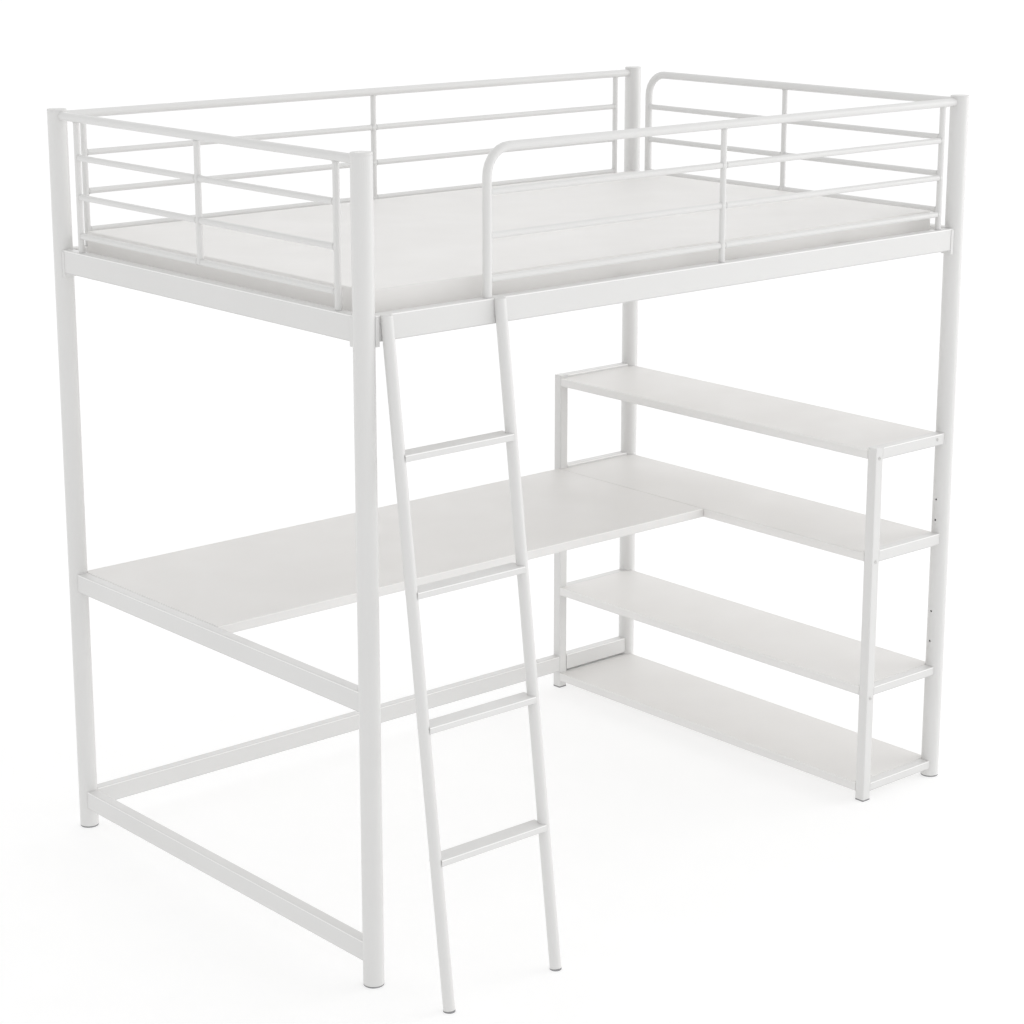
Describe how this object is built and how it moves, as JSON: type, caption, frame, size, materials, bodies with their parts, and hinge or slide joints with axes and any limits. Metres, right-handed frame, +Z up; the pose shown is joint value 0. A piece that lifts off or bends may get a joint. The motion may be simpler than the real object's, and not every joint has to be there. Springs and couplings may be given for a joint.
{
  "type": "loft bed with desk",
  "caption": "White tubular steel loft bed with barred guards and a leaning ladder, over a long desk and an open shelf unit at one end.",
  "frame": {"origin": "centre of the footprint, ladder feet included, on the floor", "axes": "+X along the long side from the ladder end to the shelf end, +Y from the ladder side to the back, +Z up"},
  "size_m": [2.08, 1.5304, 1.95],
  "materials": {
    "frame": "satin white powder coat",
    "guard": "satin white powder coat",
    "board": "matt white coated board",
    "cap": "matt white moulded plastic",
    "foot": "matt grey moulded plastic"
  },
  "bodies": {
    "root": {"post_front_left": "frame", "post_cap_front_left": "cap", "foot_cap_front_left": "foot", "post_front_right": "frame", "post_cap_front_right": "cap", "foot_cap_front_right": "foot", "post_back_left": "frame", "post_cap_back_left": "cap", "foot_cap_back_left": "foot", "post_back_right": "frame", "post_cap_back_right": "cap", "foot_cap_back_right": "foot", "bed_rail_front": "frame", "bed_rail_back": "frame", "bed_rail_left": "frame", "bed_rail_right": "frame", "base_support_1": "frame", "base_support_2": "frame", "base_support_3": "frame", "base_support_4": "frame", "mattress_base": "board", "low_rail_left": "frame", "low_rail_back_long": "frame", "low_rail_back_short": "frame", "guard_front": "guard", "guard_back": "guard", "guard_left": "guard", "guard_right": "guard", "desk_rail_left": "frame", "desk_rail_back": "frame", "desk_bar": "frame", "desk_top": "board", "shelf_upright_front": "frame", "shelf_foot_front": "foot", "shelf_upright_back": "frame", "shelf_foot_back": "foot", "shelf_board_1": "board", "shelf_rail_front_1": "frame", "shelf_rail_back_1": "frame", "shelf_board_2": "board", "shelf_rail_front_2": "frame", "shelf_rail_back_2": "frame", "shelf_board_3": "board", "shelf_rail_front_3": "frame", "shelf_rail_back_3": "frame", "shelf_board_4": "board", "shelf_rail_front_4": "frame", "shelf_rail_back_4": "frame", "ladder_stile_left": "frame", "ladder_foot_left": "foot", "ladder_stile_right": "frame", "ladder_foot_right": "foot", "ladder_rung_1": "frame", "ladder_rung_2": "frame", "ladder_rung_3": "frame", "ladder_rung_4": "frame"}
  },
  "joints": []
}
